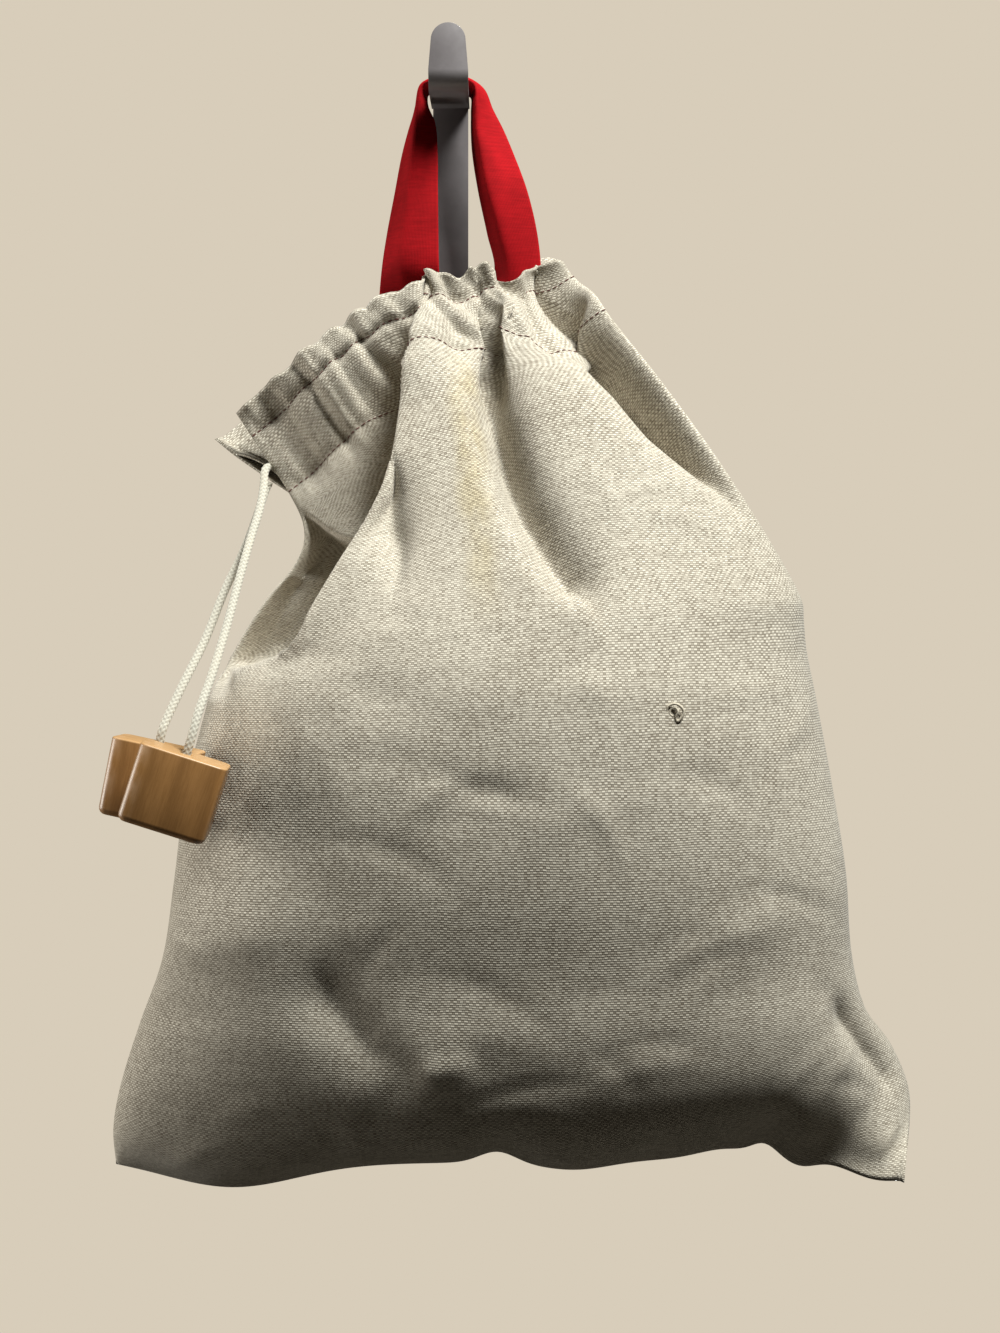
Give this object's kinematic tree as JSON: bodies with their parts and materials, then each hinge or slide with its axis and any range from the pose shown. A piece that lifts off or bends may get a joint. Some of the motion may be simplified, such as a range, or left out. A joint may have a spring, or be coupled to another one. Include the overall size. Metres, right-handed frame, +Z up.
{
  "type": "drawstring bag on a wall hook",
  "caption": "Full linen drawstring bag with a gathered casing, wooden blocks on its cord tails and a red tape loop, hung from a flat steel wall hook.",
  "frame": {"origin": "middle of the hook's back face, on the wall", "axes": "+Z up, +Y into the wall, +X to the right as seen from the front of the bag"},
  "size_m": [0.287, 0.1216, 0.4219],
  "materials": {
    "hook_steel": "grey satin paint on steel strip",
    "red_tape": "red cotton tape, finely woven",
    "linen": "natural linen in plain weave, slubby, unbleached",
    "cotton_cord": "white braided cotton",
    "varnished_wood": "mid-brown hardwood, satin varnish"
  },
  "bodies": {
    "root": {"wall_hook": "hook_steel", "hanging_loop": "red_tape", "bag": "linen", "cord_front": "cotton_cord", "cord_back": "cotton_cord", "block_front": "varnished_wood", "block_back": "varnished_wood"}
  },
  "joints": []
}
